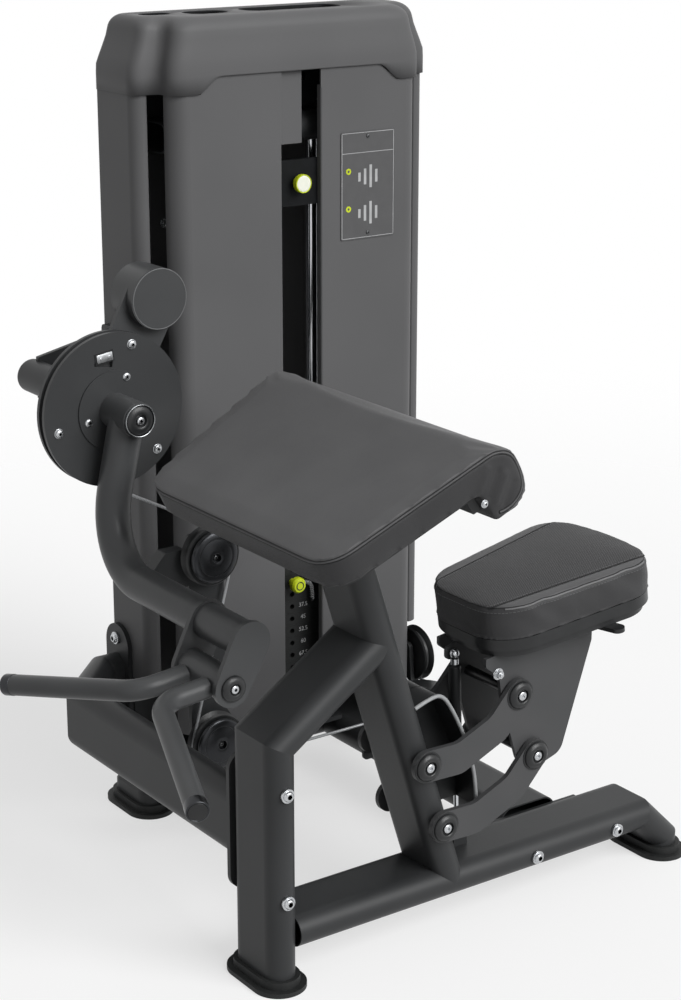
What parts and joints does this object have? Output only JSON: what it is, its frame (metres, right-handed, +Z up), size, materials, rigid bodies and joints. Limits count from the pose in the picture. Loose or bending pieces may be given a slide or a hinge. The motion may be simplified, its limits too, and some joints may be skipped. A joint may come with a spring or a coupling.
{
  "type": "biceps curl machine",
  "caption": "Selectorised biceps curl machine with cam-driven curl arm, swivel handle, sloping arm pad, linked adjustable seat and a shrouded weight stack.",
  "frame": {"origin": "middle of the footprint on the floor", "axes": "+Z up, +X along the front rail from the user's handle side to the seat, +Y from the user's bench back to the weight tower"},
  "size_m": [1.3378, 1.1876, 1.655],
  "materials": {
    "arm_paint": "satin powder coat",
    "cable_steel": "coated wire rope",
    "cover_shell": "satin moulded covers",
    "dark_shell": "matt moulded plastic",
    "foot_rubber": "moulded rubber",
    "frame_paint": "satin fine texture powder coat",
    "grip_metal": "turned",
    "guard_black": "satin",
    "knob_accent": "gloss",
    "pad_skin": "grained leatherette",
    "placard_print": "printed sheet",
    "plated": "bright plating",
    "pulley_plastic": "moulded nylon",
    "stack_iron": "painted iron",
    "steel": "brushed"
  },
  "bodies": {
    "frame": {"arm_pad": "pad_skin", "cable": "cable_steel", "cable_brackets": "frame_paint", "column_pins": "dark_shell", "frame_bolts": "steel", "front_covers": "cover_shell", "front_leg": "frame_paint", "front_rail": "frame_paint", "guide_rods": "plated", "left_rail": "frame_paint", "pad_board": "dark_shell", "pad_column": "frame_paint", "pivot_bracket": "frame_paint", "pivot_housing": "frame_paint", "placard": "placard_print", "pulley_axles": "steel", "pulley_post": "frame_paint", "rail_flanges": "frame_paint", "rear_cover": "cover_shell", "resting_plates": "stack_iron", "right_rail": "frame_paint", "rubber_shoes": "foot_rubber", "seat_guard": "guard_black", "side_shells": "cover_shell", "spring_foot": "frame_paint", "stack_bumpers": "foot_rubber", "stack_cable": "cable_steel", "top_cap": "cover_shell", "tower_frame": "frame_paint"},
    "arm": {"cam_disc": "arm_paint", "arm_tube": "arm_paint", "arm_caps": "dark_shell", "fork_plates": "arm_paint", "counterweight": "arm_paint", "pivot_shaft": "arm_paint"},
    "handle": {"handle_bars": "arm_paint", "grip_ends": "grip_metal"},
    "upper_pulley_wheel": {"upper_pulley": "pulley_plastic"},
    "lower_pulley_wheel": {"lower_pulley": "pulley_plastic"},
    "turn_pulley_wheel": {"turn_pulley": "pulley_plastic"},
    "rear_pulley_wheel": {"rear_pulley": "pulley_plastic"},
    "top_pulley_wheel_right": {"top_pulley_right": "pulley_plastic"},
    "top_pulley_wheel_left": {"top_pulley_left": "pulley_plastic"},
    "guide_roller_wheel": {"guide_roller": "pulley_plastic"},
    "stack": {"lifted_plates": "stack_iron", "stack_stem": "steel"},
    "pin": {"selector_pin": "knob_accent", "pin_lanyard": "dark_shell"},
    "increment": {"increment_carriage": "frame_paint", "increment_knob": "knob_accent"},
    "upper_seat_link": {"upper_link": "frame_paint", "carrier_pin_upper": "dark_shell"},
    "lower_seat_link": {"lower_link": "frame_paint", "carrier_pin_lower": "dark_shell"},
    "seat": {"seat_carrier": "frame_paint", "seat_tray": "dark_shell", "seat_cushion": "pad_skin"},
    "lever": {"release_lever": "dark_shell"},
    "spring_outer": {"spring_rod": "plated"},
    "spring_inner": {"spring_barrel": "guard_black"}
  },
  "joints": [
    {"name": "arm_pivot", "type": "hinge", "parent": "frame", "child": "arm", "pos_m": [-0.33708, 0.21081, 0.968], "axis": [0, 1, 0], "range_deg": [0, 108]},
    {"name": "handle_swivel", "type": "hinge", "parent": "arm", "child": "handle", "pos_m": [-0.42514, -0.26519, 0.61198], "axis": [0, 1, 0], "range_deg": [-50, 65]},
    {"name": "upper_pulley_spin", "type": "hinge", "parent": "frame", "child": "upper_pulley_wheel", "pos_m": [-0.12708, 0.21081, 0.64], "axis": [0, 1, 0], "range_deg": [-275, 275]},
    {"name": "lower_pulley_spin", "type": "hinge", "parent": "frame", "child": "lower_pulley_wheel", "pos_m": [-0.12108, 0.21081, 0.245], "axis": [0, 1, 0], "range_deg": [-275, 275]},
    {"name": "turn_pulley_spin", "type": "hinge", "parent": "frame", "child": "turn_pulley_wheel", "pos_m": [0.44392, 0.26481, 0.191], "axis": [0, 0, 1], "range_deg": [-275, 275]},
    {"name": "rear_pulley_spin", "type": "hinge", "parent": "frame", "child": "rear_pulley_wheel", "pos_m": [0.49792, 0.37081, 0.245], "axis": [1, 0, 0], "range_deg": [-275, 275]},
    {"name": "top_pulley_right_spin", "type": "hinge", "parent": "frame", "child": "top_pulley_wheel_right", "pos_m": [0.44392, 0.42481, 1.52], "axis": [0, 1, 0], "range_deg": [-275, 275]},
    {"name": "top_pulley_left_spin", "type": "hinge", "parent": "frame", "child": "top_pulley_wheel_left", "pos_m": [0.23292, 0.42481, 1.52], "axis": [0, 1, 0], "range_deg": [-275, 275]},
    {"name": "guide_roller_spin", "type": "hinge", "parent": "frame", "child": "guide_roller_wheel", "pos_m": [0.27092, 0.21081, 0.1565], "axis": [0, 1, 0], "range_deg": [-470, 470]},
    {"name": "seat_link", "type": "hinge", "parent": "frame", "child": "upper_seat_link", "pos_m": [-0.01958, -0.26519, 0.368], "axis": [0, -1, 0], "range_deg": [-32, 6]},
    {"name": "seat_lower_link", "type": "hinge", "parent": "frame", "child": "lower_seat_link", "pos_m": [0.02215, -0.26519, 0.23646], "axis": [0, -1, 0], "range_deg": [-33, 7]},
    {"name": "seat_tilt", "type": "hinge", "parent": "upper_seat_link", "child": "seat", "pos_m": [0.19398, -0.26519, 0.45865], "axis": [0, -1, 0], "range_deg": [-7, 33]},
    {"name": "spring_swing", "type": "hinge", "parent": "frame", "child": "spring_outer", "pos_m": [0.13492, -0.24519, 0.16], "axis": [0, -1, 0], "range_deg": [-4, 2]},
    {"name": "lever_swing", "type": "hinge", "parent": "seat", "child": "lever", "pos_m": [0.35807, -0.35519, 0.57305], "axis": [-0.1392, 0, 0.9903], "range_deg": [-8, 8]},
    {"name": "spring_slide", "type": "slide", "parent": "spring_outer", "child": "spring_inner", "axis": [-0.0332, 0, 0.9995], "range_m": [-0.128, 0.03]},
    {"name": "stack_lift", "type": "slide", "parent": "frame", "child": "stack", "axis": [0, 0, 1], "range_m": [0, 0.26], "deforming": ["stack_cable"]},
    {"name": "pin_pull", "type": "slide", "parent": "stack", "child": "pin", "axis": [0, -1, 0], "range_m": [0, 0.06]},
    {"name": "increment_slide", "type": "slide", "parent": "frame", "child": "increment", "axis": [0, 0, 1], "range_m": [-0.4, 0.05]}
  ],
  "couplings": [
    {"joint": "stack_lift", "follows": "arm_pivot", "m_per_rad": 0.136},
    {"joint": "upper_pulley_spin", "follows": "arm_pivot", "ratio": -2.5185},
    {"joint": "lower_pulley_spin", "follows": "arm_pivot", "ratio": 2.5185},
    {"joint": "turn_pulley_spin", "follows": "arm_pivot", "ratio": -2.5185},
    {"joint": "rear_pulley_spin", "follows": "arm_pivot", "ratio": -2.5185},
    {"joint": "top_pulley_right_spin", "follows": "arm_pivot", "ratio": 2.5185},
    {"joint": "top_pulley_left_spin", "follows": "arm_pivot", "ratio": 2.5185},
    {"joint": "guide_roller_spin", "follows": "arm_pivot", "ratio": -4.3175},
    {"joint": "seat_lower_link", "follows": "seat_link", "ratio": 1},
    {"joint": "seat_tilt", "follows": "seat_link", "ratio": -1},
    {"joint": "spring_swing", "follows": "seat_link", "ratio": 0.1},
    {"joint": "spring_slide", "follows": "seat_link", "m_per_rad": 0.2255}
  ]
}
